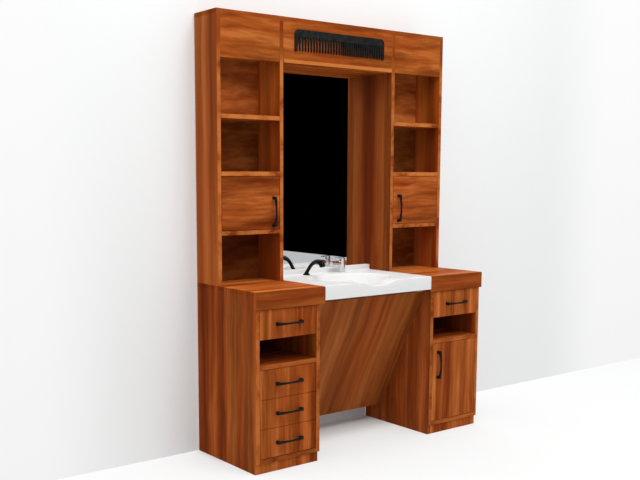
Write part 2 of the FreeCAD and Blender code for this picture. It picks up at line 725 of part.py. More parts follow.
def hinge_cups(x, face_y, z, hinge_side):
    """Cups with their flanges, let into the back of a door."""
    edge = x[0] if hinge_side < 0 else x[1]
    centre_x = edge - hinge_side * hinge_cup_edge
    back_y = face_y + board
    cups = []
    for height in hinge_heights(z):
        cup = level_pipe(hinge_cup_radius - fit_gap, centre_x, height, back_y - hinge_cup_depth, back_y)
        across = (centre_x - hinge_cup_radius, centre_x + hinge_cup_radius)
        flange = block(across, (back_y, back_y + hinge_flange_thickness),
                       (height - hinge_flange_height / 2, height + hinge_flange_height / 2))
        hollow = level_pipe(hinge_cup_radius - hinge_cup_wall, centre_x, height,
                            back_y - hinge_cup_depth + hinge_cup_floor,
                            back_y + hinge_flange_thickness)
        slot = block(across, (back_y - board, back_y + board),
                     (height - hinge_slot_height / 2, height + hinge_slot_height / 2))
        cups.append(cup.fuse(flange).cut(hollow.common(slot)))
    return cups


def hinge_arms(x, face_y, z, hinge_side):
    """Mounting plates on the side board, each with the arm that reaches to the cup."""
    wall_x = (x[0] if hinge_side < 0 else x[1]) + hinge_side * front_gap
    arm_y = face_y + board + hinge_arm_gap
    arm_end_y = arm_y + hinge_arm_length
    arms = []
    for height in hinge_heights(z):
        plate = block((wall_x, wall_x - hinge_side * hinge_plate_thickness),
                      (arm_end_y - hinge_plate_depth, arm_end_y),
                      (height - hinge_plate_height / 2, height + hinge_plate_height / 2))
        arm = block((wall_x, wall_x - hinge_side * hinge_arm_width), (arm_y, arm_end_y),
                    (height - hinge_arm_height / 2, height + hinge_arm_height / 2))
        outer_edges = [e for e in arm.Edges if e.BoundBox.YLength > hinge_arm_length / 2
                       and abs(e.BoundBox.XMin - wall_x) > hinge_arm_width / 2]
        arms.append(plate.fuse(arm.makeChamfer(hinge_arm_bevel, outer_edges)))
    return arms


tower_door_z = (door_bottom_shelf_z + board + front_gap, door_top_shelf_z - front_gap)
tower_door_x = (tower_inside[0] + front_gap, tower_inside[1] - front_gap)
left_tower_door_x = (-tower_door_x[1], -tower_door_x[0])
cupboard_door_x = (cupboard_inside[0] + front_gap, cupboard_inside[1] - front_gap)
cupboard_door_z = (pedestal_floor_z + front_gap, niche_floor_z - front_gap)

tower_handle_z = tower_door_z[0] + tower_handle_rise
cupboard_handle_z = cupboard_door_z[1] - cupboard_handle_drop

doors = [
    ("left_tower_door", left_tower_door_x, -tower_depth, tower_door_z, -1, tower_handle_z),
    ("right_tower_door", tower_door_x, -tower_depth, tower_door_z, 1, tower_handle_z),
    ("cupboard_door", cupboard_door_x, -pedestal_front, cupboard_door_z, 1, cupboard_handle_z),
]
all_arms = []
for name, x, face_y, z, hinge_side, handle_z in doors:
    keep(name, hinged_door(x, face_y, z, hinge_side))
    keep(name + "_hinge_cups", *hinge_cups(x, face_y, z, hinge_side))
    free_edge = x[1] if hinge_side < 0 else x[0]
    keep(name + "_handle",
         bow_handle(free_edge + hinge_side * door_handle_inset, face_y, handle_z, True))
    all_arms += hinge_arms(x, face_y, z, hinge_side)
keep("hinge_arms", *all_arms)


# ---------------------------------------------------------------- drawers
def drawer_box(inside, low_z):
    """Box of sides, inner front, back and a base let into grooves."""
    x0, x1 = inside[0] + runner_space, inside[1] - runner_space
    y0 = -pedestal_front + board
    y1 = y0 + drawer_box_depth
    t = drawer_box_board
    high_z = low_z + drawer_box_height
    base_z = low_z + drawer_base_rise
    base = block((x0 + t - drawer_groove, x1 - t + drawer_groove), (y0 + t, y1 - t),
                 (base_z, base_z + drawer_base))
    left = block((x0, x0 + t), (y0, y1), (low_z, high_z)).cut(base)
    right = block((x1 - t, x1), (y0, y1), (low_z, high_z)).cut(base)
    inner_front = block((x0 + t, x1 - t), (y0, y0 + t), (low_z, high_z))
    back = block((x0 + t, x1 - t), (y1 - t, y1), (low_z, high_z))
    return left, right, inner_front, back, base


def runner_outline(wall_x, inward, low_z):
    """Channel screwed to the pedestal's side; inward is the direction away from that side."""
    d, s, h = runner_depth, runner_sheet, runner_height
    shape = [(0, 0), (d, 0), (d, s), (s, s), (s, h - s), (d, h - s), (d, h), (0, h)]
    return [(wall_x + inward * x, low_z + z) for x, z in shape]


def slider_outline(wall_x, inward, low_z):
    """Inner channel screwed to the drawer's side, which runs in the pedestal's channel."""
    s, c = runner_sheet, runner_clearance
    low, high = s + c, runner_height - s - c
    near, far = s + 2 * c, runner_space
    shape = [(far, low), (far, high), (near, high), (near, high - s), (far - s, high - s),
             (far - s, low + s), (near, low + s), (near, low)]
    return [(wall_x + inward * x, low_z + z) for x, z in shape]


left_inside = (left_pedestal_x + board, left_pedestal_x + pedestal_width - board)
bay = niche_floor_z - pedestal_floor_z
low_front_height = (bay - (low_drawers + 1) * front_gap) / low_drawers

drawers = [("left_top_drawer", left_inside, top_front_z),
           ("right_top_drawer", cupboard_inside, top_front_z)]
for number, label in enumerate(("bottom", "lower", "upper")[:low_drawers]):
    low = pedestal_floor_z + front_gap + number * (low_front_height + front_gap)
    drawers.append((label + "_drawer", left_inside, (low, low + low_front_height)))

cabinet_runners = []
for name, inside, z in drawers:
    is_top = z == top_front_z
    box_z = top_box_z if is_top else z[0] + drawer_box_lift
    front = panel((inside[0] + front_gap, inside[1] - front_gap),
                  (-pedestal_front, -pedestal_front + board), z)
    keep(name + "_front", front)
    keep(name + "_box", *drawer_box(inside, box_z))
    keep(name + "_handle",
         bow_handle((inside[0] + inside[1]) / 2, -pedestal_front, (z[0] + z[1]) / 2, False))
    y0 = -pedestal_front + board
    low_z = box_z + runner_rise
    sliders = []
    for wall_x, inward in ((inside[0], 1), (inside[1], -1)):
        sliders.append(prism_along_y(slider_outline(wall_x, inward, low_z), y0, y0 + runner_length))
        cabinet_runners.append(prism_along_y(runner_outline(wall_x, inward, low_z),
                                             y0 + front_gap, y0 + front_gap + runner_length))
    keep(name + "_sliders", *sliders)
keep("drawer_runners", *cabinet_runners)

# ---------------------------------------------------------------- write the sub-parts
shift = FreeCAD.Vector(-counter_overhang / 2, (pedestal_front + handle_reach) / 2, 0)
os.makedirs("parts", exist_ok=True)
for name, solids in parts.items():
    whole = solids[0] if len(solids) == 1 else Part.makeCompound(solids)
    whole = whole.copy()
    whole.translate(shift)
    whole.exportStep("parts/" + name + ".step")
print(len(parts), "sub-parts written")
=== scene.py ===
import math
import bmesh
import bpy
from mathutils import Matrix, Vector


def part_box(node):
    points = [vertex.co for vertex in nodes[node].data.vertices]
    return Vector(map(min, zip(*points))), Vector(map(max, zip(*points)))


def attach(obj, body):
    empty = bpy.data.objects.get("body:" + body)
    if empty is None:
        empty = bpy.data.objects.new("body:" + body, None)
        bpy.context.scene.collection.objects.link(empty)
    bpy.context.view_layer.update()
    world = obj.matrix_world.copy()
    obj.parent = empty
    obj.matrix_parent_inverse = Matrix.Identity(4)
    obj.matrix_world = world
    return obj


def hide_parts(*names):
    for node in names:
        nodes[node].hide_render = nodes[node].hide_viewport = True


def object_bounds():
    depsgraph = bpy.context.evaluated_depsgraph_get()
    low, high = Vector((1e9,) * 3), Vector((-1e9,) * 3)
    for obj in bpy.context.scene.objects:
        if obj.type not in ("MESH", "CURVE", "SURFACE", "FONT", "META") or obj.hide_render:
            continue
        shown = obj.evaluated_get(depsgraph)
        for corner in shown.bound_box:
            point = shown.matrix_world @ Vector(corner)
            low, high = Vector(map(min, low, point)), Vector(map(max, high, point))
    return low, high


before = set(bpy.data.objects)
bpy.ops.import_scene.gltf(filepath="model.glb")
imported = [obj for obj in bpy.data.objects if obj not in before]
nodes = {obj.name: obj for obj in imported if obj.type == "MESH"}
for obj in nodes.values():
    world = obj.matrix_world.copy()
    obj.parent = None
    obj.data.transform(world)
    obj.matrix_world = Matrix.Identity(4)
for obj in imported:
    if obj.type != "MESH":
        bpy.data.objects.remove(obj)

cadBox = [list(corner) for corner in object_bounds()]
scene = bpy.context.scene
print("frame loaded:", len(nodes), "CAD nodes")


# node helpers, used by every material
def put(tree, kind, settings=None, **sockets):
    item = tree.nodes.new("ShaderNode" + kind)
    for key, value in (settings or {}).items():
        setattr(item, key, value)
    for key, value in sockets.items():
        plug(tree, item.inputs[key.replace("_", " ")], value)
    return item


def plug(tree, socket, value):
    if isinstance(value, bpy.types.NodeSocket):
        tree.links.new(value, socket)
    elif socket.type == "RGBA":
        socket.default_value = (*value, 1.0)
    else:
        socket.default_value = value


def maths(tree, operation, a, b=0.0):
    item = put(tree, "Math", {"operation": operation})
    plug(tree, item.inputs[0], a)
    plug(tree, item.inputs[1], b)
    return item.outputs[0]


def product(tree, first, *others):
    for other in others:
        first = maths(tree, "MULTIPLY", first, other)
    return first


def over(tree, value, limit):
    return maths(tree, "GREATER_THAN", value, limit)


def under(tree, value, limit):
    return maths(tree, "LESS_THAN", value, limit)


def span(tree, value, start, end, low=0.0, high=1.0):
    reach = put(tree, "MapRange", Value=value, From_Min=start, From_Max=end, To_Min=low, To_Max=high)
    return reach.outputs[0]


def axes(tree, vector):
    return put(tree, "SeparateXYZ", Vector=vector).outputs


def noise(tree, vector, scale, detail, roughness=0.5):
    return put(tree, "TexNoise", Vector=vector, Scale=scale, Detail=detail, Roughness=roughness).outputs


def mixColours(tree, factor, a, b, blend="MIX"):
    item = put(tree, "Mix", {"data_type": "RGBA", "blend_type": blend})
    plug(tree, item.inputs[0], factor)
    plug(tree, item.inputs[6], a)
    plug(tree, item.inputs[7], b)
    return item.outputs[2]


def ramp(tree, factor, stops, ease="EASE"):
    item = put(tree, "ValToRGB", Fac=factor)
    band = item.color_ramp
    band.interpolation = ease
    while len(band.elements) < len(stops):
        band.elements.new(0.5)
    for element, (place, colour) in zip(band.elements, stops):
        element.position = place
        element.color = (*colour, 1.0)
    return item.outputs[0]


# from dark to light over the middle of a noise
def mottled(tree, value, dark, light):
    return ramp(tree, value, [(0.3, dark), (0.7, light)])


def roughen(tree, shader, value, low, high):
    plug(tree, shader.inputs["Roughness"], span(tree, value, 0.0, 1.0, low, high))


def emboss(tree, shader, height, strength, depth):
    bump = put(tree, "Bump", Strength=strength, Distance=depth, Height=height)
    plug(tree, shader.inputs["Normal"], bump.outputs[0])


def startMaterial(name):
    material = bpy.data.materials.new(name)
    material.use_nodes = True
    tree = material.node_tree
    place = tree.nodes.new("ShaderNodeTexCoord").outputs
    return material, tree, tree.nodes["Principled BSDF"], place


def wear(node, material):
    slots = nodes[node].data.materials
    slots.clear()
    slots.append(material)


# cherry-red laminate, tones from the darkest streak to the lightest
laminateTones = {
    "stops": [(0.26, (0.135, 0.0228, 0.0034)), (0.42, (0.225, 0.0440, 0.0070)),
              (0.55, (0.345, 0.0780, 0.0130)), (0.70, (0.500, 0.1340, 0.0285)),
              (0.85, (0.640, 0.2120, 0.0600))],
    "edge": [(0.36, (0.200, 0.0340, 0.0050)), (0.46, (0.480, 0.1330, 0.0280)),
             (0.60, (0.660, 0.2200, 0.0520))],
    "hues": [(0.36, (1.03, 0.84, 0.74)), (0.50, (1.0, 1.0, 1.0)), (0.64, (0.97, 1.15, 1.20))],
    # streaks from broad to fine: scale, detail, roughness, weight
    "layers": [(5.5, 1.0, 1.0, 0.75), (20.0, 2.0, 0.55, 0.75), (62.0, 2.0, 0.6, 0.30),
               (420.0, 4.0, 0.7, 0.12)],
    "warp": {"scale": 2.6, "detail": 2.0, "roughness": 0.55},     # bends the streaks
    "hueCloud": {"scale": 17.0, "detail": 1.0},
    "worn": {"scale": 11.0, "detail": 3.0, "roughness": 0.6},     # mottles the banded edges
    "edgeRed": 0.85,
    "rimHighlightShare": 0.65,
    "roughness": (0.36, 0.52),
    "gloss": 0.025,
    "fibreDepth": 0.00012,
    "fibreRelief": 0.35,
    "faceOn": 0.75,          # a face looks along an axis when its normal has this much of it
}
# along: way of the fibres, fine: how much finer than on the side boards, stretch: width of a streak by
# its length, wave: how far streaks bend, edge: cover of the banded front edges, edgeDark: heights between
# which they turn red, pale: step up (or down) the tones, lean: painted light falloff, the change of
# that step for each metre to the right, hue: how far the tone wanders to red and to tan, tint: over the whole
# board, shift: where the board is cut from the pattern, tilt: degrees that the pattern is turned, inner:
# painted shade and painted light on faces that look across, as reach from the middle (least and most), least
# height
# and tint, topLine: least height and share of red along the upper arris, rim: top and half length of the band
# at the front edge of the alcove's ceiling, part banded edge and part painted highlight, low: heights between
# which backs get painted shade downwards, and the share of light below, tone: of all backs
boardLooks = {
    "towerSides": {
        "along": "z", "fine": 1.0, "stretch": 0.035, "wave": 0.030, "contrast": 0.75, "pale": 0.022,
        "hue": 0.7, "tint": (1.0, 0.98, 0.98), "shift": (2.23, -2.52, -0.30),
        "edge": 0.60, "edgeDark": (1.79, 1.86),
        "inner": [(0.0, 0.350, 0.0, (0.72, 0.68, 0.62)), (0.36, 0.69, 1.54, (1.38, 1.60, 1.40))],
        "topLine": (1.9955, 0.70),
    },
    "pedestalSides": {
        "along": "z", "fine": 1.0, "stretch": 0.045, "wave": 0.045, "contrast": 0.85, "pale": -0.045,
        "hue": 0.7, "tint": (1.02, 1.04, 1.05), "shift": (0.0, 0.0, 0.0), "edge": 0.45, "gloss": 0.015,
        "inner": [(0.0, 0.352, 0.0, (1.38, 1.60, 2.20))],
    },
    "fronts": {
        "along": "z", "fine": 1.25, "stretch": 0.055, "wave": 0.030, "contrast": 1.0, "pale": 0.048,
    },
    "decks": {
        "along": "x", "fine": 1.3, "stretch": 0.080, "wave": 0.040, "contrast": 1.0, "pale": -0.110,
        "edge": 0.25,
    },
    "shelves": {
        "along": "x", "fine": 1.3, "stretch": 0.080, "wave": 0.040, "contrast": 1.0, "edge": 0.70,
    },
    "counterTops": {
        "along": "x", "fine": 1.5, "stretch": 0.070, "wave": 0.040, "contrast": 1.1, "pale": 0.190,
        "tint": (1.0, 0.90, 0.72), "shift": (0.0, 0.0, 0.37), "gloss": 0.008,
    },
    "aprons": {
        "along": "x", "fine": 1.5, "stretch": 0.070, "wave": 0.040, "contrast": 0.65, "pale": -0.050,
        "lean": -0.065, "shift": (0.0, 0.0, 0.37),
    },
    "headers": {
        "along": "x", "fine": 1.5, "stretch": 0.110, "wave": 0.060, "contrast": 0.8, "pale": 0.015,
        "tint": (1.0, 1.05, 1.10), "shift": (0.35, 0.0, 0.12), "gloss": 0.0, "rim": (1.812, 0.339),
        "topLine": (1.9820, 0.42),
    },
    "doors": {
        "along": "x", "fine": 1.4, "stretch": 0.090, "wave": 0.050, "contrast": 1.0, "pale": 0.020,
        "lean": -0.055, "tint": (1.0, 0.97, 1.0), "shift": (0.35, 0.0, 0.62),
    },
    "backs": {
        "along": "x", "fine": 1.1, "stretch": 0.250, "wave": 0.080, "contrast": 0.8,
        "tint": (1.0, 1.20, 1.40), "low": (1.525, 1.545, 0.36), "tone": 1.52,
    },
    # the knee panel's tint is painted light: paler and cooler, against the warm bounce light in its shade
    "knee": {
        "along": "z", "fine": 0.6, "stretch": 0.060, "wave": 0.040, "contrast": 0.85,
        "tint": (1.02, 1.17, 1.50), "shift": (0.45, 0.15, 2.25), "tilt": -26.0,
    },
}
boardNodes = {
    "towerSides": ("left_tower_sides", "right_tower_sides"),
    "pedestalSides": ("left_pedestal_sides", "right_pedestal_sides"),
    "fronts": ("plinths", "cupboard_door", "left_top_drawer_front", "right_top_drawer_front",
               "upper_drawer_front", "lower_drawer_front", "bottom_drawer_front"),
    "decks": ("left_pedestal_decks", "right_pedestal_decks"),
    "shelves": ("left_tower_shelves", "right_tower_shelves"),
    "counterTops": ("left_counter_top", "right_counter_top"),
    "aprons": ("counter_aprons", "counter_frames"),
    "headers": ("header_boards", "top_board"),
    "doors": ("left_tower_door", "right_tower_door"),
    "backs": ("back_panels",),
    "knee": ("knee_panel",),
}


def facing(tree, part):
    return over(tree, maths(tree, "ABSOLUTE", part), laminateTones["faceOn"])


def grainPlace(tree, warp, source, wave, sizes):
    bend = put(tree, "VectorMath", {"operation": "MULTIPLY_ADD"})
    plug(tree, bend.inputs[0], warp)
    plug(tree, bend.inputs[1], (wave, wave, wave))
    plug(tree, bend.inputs[2], source)
    sized = put(tree, "VectorMath", {"operation": "MULTIPLY"})
    plug(tree, sized.inputs[0], bend.outputs[0])
    plug(tree, sized.inputs[1], sizes)
    return sized.outputs[0]


# the ends of a level board carry the grain and tone of the side boards
def endGrain(tree, kind, warp, place, atEnd, along, level):
    side = boardLooks["towerSides" if kind == "headers" else "pedestalSides"]
    beside = put(tree, "Mapping", Vector=place["Object"], Location=side["shift"])
    sizes = (side["fine"], side["fine"], side["stretch"])
    ends = grainPlace(tree, warp, beside.outputs[0], side["wave"], sizes)
    swap = put(tree, "Mix", {"data_type": "VECTOR"}, Factor=atEnd)
    plug(tree, swap.inputs[4], along)
    plug(tree, swap.inputs[5], ends)
    step = side["pale"] - boardLooks[kind].get("pale", 0.0)
    return swap.outputs[1], maths(tree, "ADD", level, product(tree, atEnd, step))


# banded front edges, mottled along their length and redder beside the header
def bandedEdges(tree, looks, place, face, at, colour):
    tones = laminateTones
    band = ramp(tree, noise(tree, place["Object"], **tones["worn"])["Fac"], tones["edge"], "LINEAR")
    cover = looks["edge"]
    if "edgeDark" in looks:
        red = span(tree, at[2], *looks["edgeDark"], high=tones["edgeRed"])
        band = mixColours(tree, red, band, tones["edge"][0][1])
        cover = maths(tree, "MAXIMUM", red, cover)
    return mixColours(tree, product(tree, facing(tree, face[1]), cover), colour, band)


# band below the middle header, at the front edge of the alcove's ceiling: part the banded edge's colour, part
# a painted highlight along the header's lower arris
def paintedRimHighlight(tree, looks, face, at, reach, colour):
    height, half = looks["rim"]
    ahead = under(tree, face[1], -laminateTones["faceOn"])
    inHighlight = product(tree, under(tree, at[2], height), under(tree, reach, half), ahead)
    share = product(tree, inHighlight, laminateTones["rimHighlightShare"])
    return mixColours(tree, share, colour, laminateTones["edge"][-1][1])


# painted shade: backs in the lower niches are darker, but only on the side that looks into the niche
def paintedNicheShade(tree, looks, face, at, colour):
    start, end, share = looks["low"]
    nicheShade = span(tree, at[2], start, end, share, 1.0)
    nicheShade = put(tree, "Mix", Factor=under(tree, face[1], 0.5), A=1.0, B=nicheShade).outputs[0]
    nicheShade = product(tree, nicheShade, looks["tone"])
    shade = put(tree, "CombineColor", Red=nicheShade, Green=nicheShade, Blue=nicheShade)
    return mixColours(tree, 1.0, colour, shade.outputs[0], "MULTIPLY")


def laminate(kind):
    looks, tones = boardLooks[kind], laminateTones
    material, tree, shader, place = startMaterial("laminate" + kind[0].upper() + kind[1:])
    face, at = axes(tree, place["Normal"]), axes(tree, place["Object"])
    reach = maths(tree, "ABSOLUTE", at[0])
    sideways = facing(tree, face[0])

    warp = noise(tree, place["Object"], **tones["warp"])["Color"]
    tilt = math.radians(looks.get("tilt", 0.0))
    turned = put(tree, "Mapping", Vector=place["Object"], Rotation=(tilt, 0.0, 0.0),
                 Location=looks.get("shift", (0.0, 0.0, 0.0)))
    fine, short = looks["fine"], looks["fine"] * looks["stretch"]
    sizes = (short, fine, fine) if looks["along"] == "x" else (fine, fine, short)
    along = grainPlace(tree, warp, turned.outputs[0], looks["wave"], sizes)

    level = 0.5 + looks.get("pale", 0.0)
    # painted light falloff across the board: the tones change by this step for each metre to the right
    if "lean" in looks:
        level = maths(tree, "ADD", level, product(tree, at[0], looks["lean"]))
    if looks["along"] == "x":
        along, level = endGrain(tree, kind, warp, place, sideways, along, level)
    for scale, detail, rough, weight in tones["layers"]:
        fibre = noise(tree, along, scale, detail, rough)["Fac"]
        part = maths(tree, "SUBTRACT", fibre, 0.5)
        level = maths(tree, "ADD", level, product(tree, part, weight * looks["contrast"]))
    colour = ramp(tree, level, tones["stops"], "LINEAR")
    hue = ramp(tree, noise(tree, along, **tones["hueCloud"])["Fac"], tones["hues"], "LINEAR")
    colour = mixColours(tree, looks.get("hue", 0.5), colour, hue, "MULTIPLY")
    colour = mixColours(tree, 1.0, colour, looks.get("tint", (1.0, 1.0, 1.0)), "MULTIPLY")

    if "edge" in looks:
        colour = bandedEdges(tree, looks, place, face, at, colour)
    if "rim" in looks:
        colour = paintedRimHighlight(tree, looks, face, at, reach, colour)
    if "low" in looks:
        colour = paintedNicheShade(tree, looks, face, at, colour)
    # painted light: tints on faces that look across, with painted shade beside the mirror, and paler, cooler
    # painted light in the upper niches and the knee space
    for least, most, height, tint in looks.get("inner", ()):    # beside the mirror, the niches and the knees
        between = product(tree, over(tree, reach, least), under(tree, reach, most))
        there = product(tree, between, over(tree, at[2], height), sideways)
        colour = mixColours(tree, there, colour, mixColours(tree, 1.0, colour, tint, "MULTIPLY"))
    if "topLine" in looks:
        least, share = looks["topLine"]
        line = product(tree, over(tree, at[2], least), under(tree, face[2], 0.5), share)
        colour = mixColours(tree, line, colour, tones["edge"][0][1])

    plug(tree, shader.inputs["Base Color"], colour)
    roughen(tree, shader, fibre, *tones["roughness"])
    shader.inputs["Specular IOR Level"].default_value = looks.get("gloss", tones["gloss"])
    emboss(tree, shader, fibre, tones["fibreRelief"], tones["fibreDepth"])
    return material


for kind, group in boardNodes.items():
    finish = laminate(kind)
    for node in group:
        wear(node, finish)


# most laminate boards and every handle get a small rounded arris
arrisLooks = {
    "board": 0.0006,
    "handle": 0.0012,
    "rounded": 50.0,         # degrees from which an edge is rounded
    "weld": 0.00001,
}
boardEnds = ("_sides", "_decks", "_shelves", "_front", "_top", "_door")
otherBoards = ("plinths", "counter_aprons", "header_boards", "top_board", "knee_panel")


def easeEdges(piece, width, steps=2):
    weld = piece.modifiers.new("weld", "WELD")
    weld.merge_threshold = arrisLooks["weld"]
    bevel = piece.modifiers.new("arris", "BEVEL")
    bevel.width = width
    bevel.segments = steps
    bevel.limit_method = "ANGLE"
    bevel.angle_limit = math.radians(arrisLooks["rounded"])


for node in nodes:
    if node.endswith(boardEnds) or node in otherBoards:
        easeEdges(nodes[node], arrisLooks["board"])
print("laminate boards dressed")


# raw boards inside: flaked particle board, and finer grey board for the drawers
particleLooks = {
    "rawParticleBoard": {"dark": (0.30, 0.20, 0.11), "light": (0.60, 0.46, 0.30), "flakeSize": 0.0035},
    "greyDrawerBoard": {"dark": (0.42, 0.40, 0.37), "light": (0.52, 0.50, 0.46), "flakeSize": 0.0012},
    "dust": 0.4,             # share of fine dust over the flakes
    "roughness": 0.85,
    "relief": (0.4, 0.0003),
}


def particleBoard(name):
    looks, dustShare = particleLooks[name], particleLooks["dust"]
    material, tree, shader, place = startMaterial(name)
    flake = put(tree, "TexVoronoi", Vector=place["Object"], Scale=1.0 / looks["flakeSize"])
    dust = noise(tree, place["Object"], scale=90.0, detail=5.0)["Fac"]
    tone = put(tree, "SeparateColor", Color=flake.outputs["Color"]).outputs[0]
    tone = maths(tree, "ADD", product(tree, tone, 1.0 - dustShare), product(tree, dust, dustShare))
    plug(tree, shader.inputs["Base Color"], ramp(tree, tone, [(0.2, looks["dark"]), (0.7, looks["light"])]))
    shader.inputs["Roughness"].default_value = particleLooks["roughness"]
    emboss(tree, shader, tone, *particleLooks["relief"])
    return material


rawBoard = particleBoard("rawParticleBoard")
drawerBoard = particleBoard("greyDrawerBoard")
for node in ("pedestal_stretchers", "basin_carriers", "mirror_backing"):
    wear(node, rawBoard)
for node in nodes:
    if node.endswith("_drawer_box"):
        wear(node, drawerBoard)
print("raw boards dressed")


# metals
metalLooks = {
    "chrome": {"colour": (0.80, 0.81, 0.83), "roughness": (0.07, 0.12), "grain": 60.0,
               "depth": 0.00002},
    "zincSteel": {"colour": (0.62, 0.63, 0.64), "roughness": (0.34, 0.48), "grain": 240.0,
                  "depth": 0.00004},
    "dull": 0.88,            # tone of the duller patches
    "relief": 0.2,
}


def metal(name):
    looks = metalLooks[name]
    material, tree, shader, place = startMaterial(name)
    cloud = noise(tree, place["Object"], looks["grain"], detail=4.0)["Fac"]
    shade = tuple(c * metalLooks["dull"] for c in looks["colour"])
    plug(tree, shader.inputs["Base Color"], mottled(tree, cloud, shade, looks["colour"]))
    shader.inputs["Metallic"].default_value = 1.0
    roughen(tree, shader, cloud, *looks["roughness"])
    emboss(tree, shader, cloud, metalLooks["relief"], looks["depth"])
    return material


chrome = metal("chrome")
zincSteel = metal("zincSteel")
for node in ("mixer_body", "mixer_cap", "mixer_lever", "waste_fitting"):
    wear(node, chrome)
for node in nodes:
    if node in ("drawer_runners", "hinge_arms") or node.endswith(("_sliders", "_hinge_cups")):
        wear(node, zincSteel)
print("metal parts dressed")


# mirror: silvered glass, a faint green in the body
mirrorLooks = {
    "dark": (0.86, 0.89, 0.88),
    "light": (0.90, 0.92, 0.92),
}


def silveredGlass():
    material, tree, shader, place = startMaterial("silveredGlass")
    cloud = noise(tree, place["Object"], scale=3.0, detail=2.0)["Fac"]
    plug(tree, shader.inputs["Base Color"], mottled(tree, cloud, mirrorLooks["dark"], mirrorLooks["light"]))
    shader.inputs["Metallic"].default_value = 1.0
    shader.inputs["Roughness"].default_value = 0.0
    return material


wear("mirror_glass", silveredGlass())
print("mirror silvered")


# black parts and the white trap
plasticLooks = {
    "handleBlack": {"dark": (0.006, 0.006, 0.006), "light": (0.013, 0.013, 0.013), "roughness": (0.43, 0.56),
                    "gloss": 0.09, "grain": 900.0, "depth": 0.00006},
    "sprayBlack": {"dark": (0.003, 0.003, 0.0035), "light": (0.006, 0.006, 0.0065), "roughness": (0.23, 0.36),
                   "gloss": 0.08, "grain": 300.0, "depth": 0.00002},
    "trapWhite": {"dark": (0.62, 0.63, 0.63), "light": (0.72, 0.73, 0.73), "roughness": (0.33, 0.46),
                  "gloss": 0.4, "grain": 160.0, "depth": 0.00005},
    "signBlack": {"dark": (0.009, 0.009, 0.009), "light": (0.019, 0.019, 0.019), "roughness": (0.55, 0.68),
                  "gloss": 0.07, "grain": 700.0, "depth": 0.00006},
    "relief": 0.4,
}


def mouldedPlastic(name):
    looks = plasticLooks[name]
    material, tree, shader, place = startMaterial(name)
    cloud = noise(tree, place["Object"], scale=35.0, detail=3.0)["Fac"]
    pebble = noise(tree, place["Object"], looks["grain"], detail=2.0)["Fac"]
    plug(tree, shader.inputs["Base Color"], mottled(tree, cloud, looks["dark"], looks["light"]))
    roughen(tree, shader, pebble, *looks["roughness"])
    shader.inputs["Specular IOR Level"].default_value = looks["gloss"]
    emboss(tree, shader, pebble, plasticLooks["relief"], looks["depth"])
    return material


handleBlack = mouldedPlastic("handleBlack")
sprayBlack = mouldedPlastic("sprayBlack")
trapWhite = mouldedPlastic("trapWhite")
signBlack = mouldedPlastic("signBlack")
for node in nodes:
    if node.endswith("_handle"):
        wear(node, handleBlack)
        easeEdges(nodes[node], arrisLooks["handle"], 3)
wear("spray_holder", sprayBlack)
wear("hand_spray", sprayBlack)
wear("bottle_trap", trapWhite)
print("plastic parts and handles dressed")


# glazed fireclay of the basin
glazeLooks = {
    "body": (0.880, 0.884, 0.880),
    "thin": (0.790, 0.800, 0.794),    # painted shade on upright faces, darker than on the top
    "upright": (0.25, 0.90),          # from the painted side shade to body by how far a face looks up
    "runs": 0.3,
    "roughness": (0.30, 0.36),
    "gloss": 0.12,
    "relief": (0.15, 0.0002),
}


def glaze():
    looks = glazeLooks
    material, tree, shader, place = startMaterial("basinGlaze")
    cloud = noise(tree, place["Object"], scale=7.0, detail=3.0)["Fac"]
    orangePeel = noise(tree, place["Object"], scale=55.0, detail=1.0)["Fac"]
    # painted light: faces that look up are lighter than upright ones
    paintedTopLight = span(tree, axes(tree, place["Normal"])[2], *looks["upright"])
    runs = product(tree, maths(tree, "SUBTRACT", cloud, 0.5), looks["runs"])
    cover = maths(tree, "ADD", paintedTopLight, runs)
    plug(tree, shader.inputs["Base Color"], ramp(tree, cover, [(0.0, looks["thin"]), (1.0, looks["body"])]))
    roughen(tree, shader, cloud, *looks["roughness"])
    shader.inputs["Specular IOR Level"].default_value = looks["gloss"]
    emboss(tree, shader, orangePeel, *looks["relief"])
    return material


basinGlaze = glaze()
wear("basin", basinGlaze)


def newPiece(name, form, body, finish, standsFor=None, creaseAngle=40.0):
    bmesh.ops.recalc_face_normals(form, faces=form.faces[:])
    mesh = bpy.data.meshes.new(name)
    form.to_mesh(mesh)
    form.free()
    mesh.materials.append(finish)
    for polygon in mesh.polygons:
        polygon.use_smooth = True
    mesh.set_sharp_from_angle(angle=math.radians(creaseAngle))
    piece = bpy.data.objects.new(name, mesh)
    scene.collection.objects.link(piece)
    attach(piece, body)
    if standsFor:
        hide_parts(standsFor)
    return piece


# closed skin between rings of equal length, also from the last ring to the first when it is looped
def skin(form, rows, looped=False):
    count = len(rows[0])
    following = rows[1:] + rows[:1] if looped else rows[1:]
    for a, b in zip(rows, following):
        for i in range(count):
            j = (i + 1) % count
            form.faces.new((a[i], a[j], b[j], b[i]))


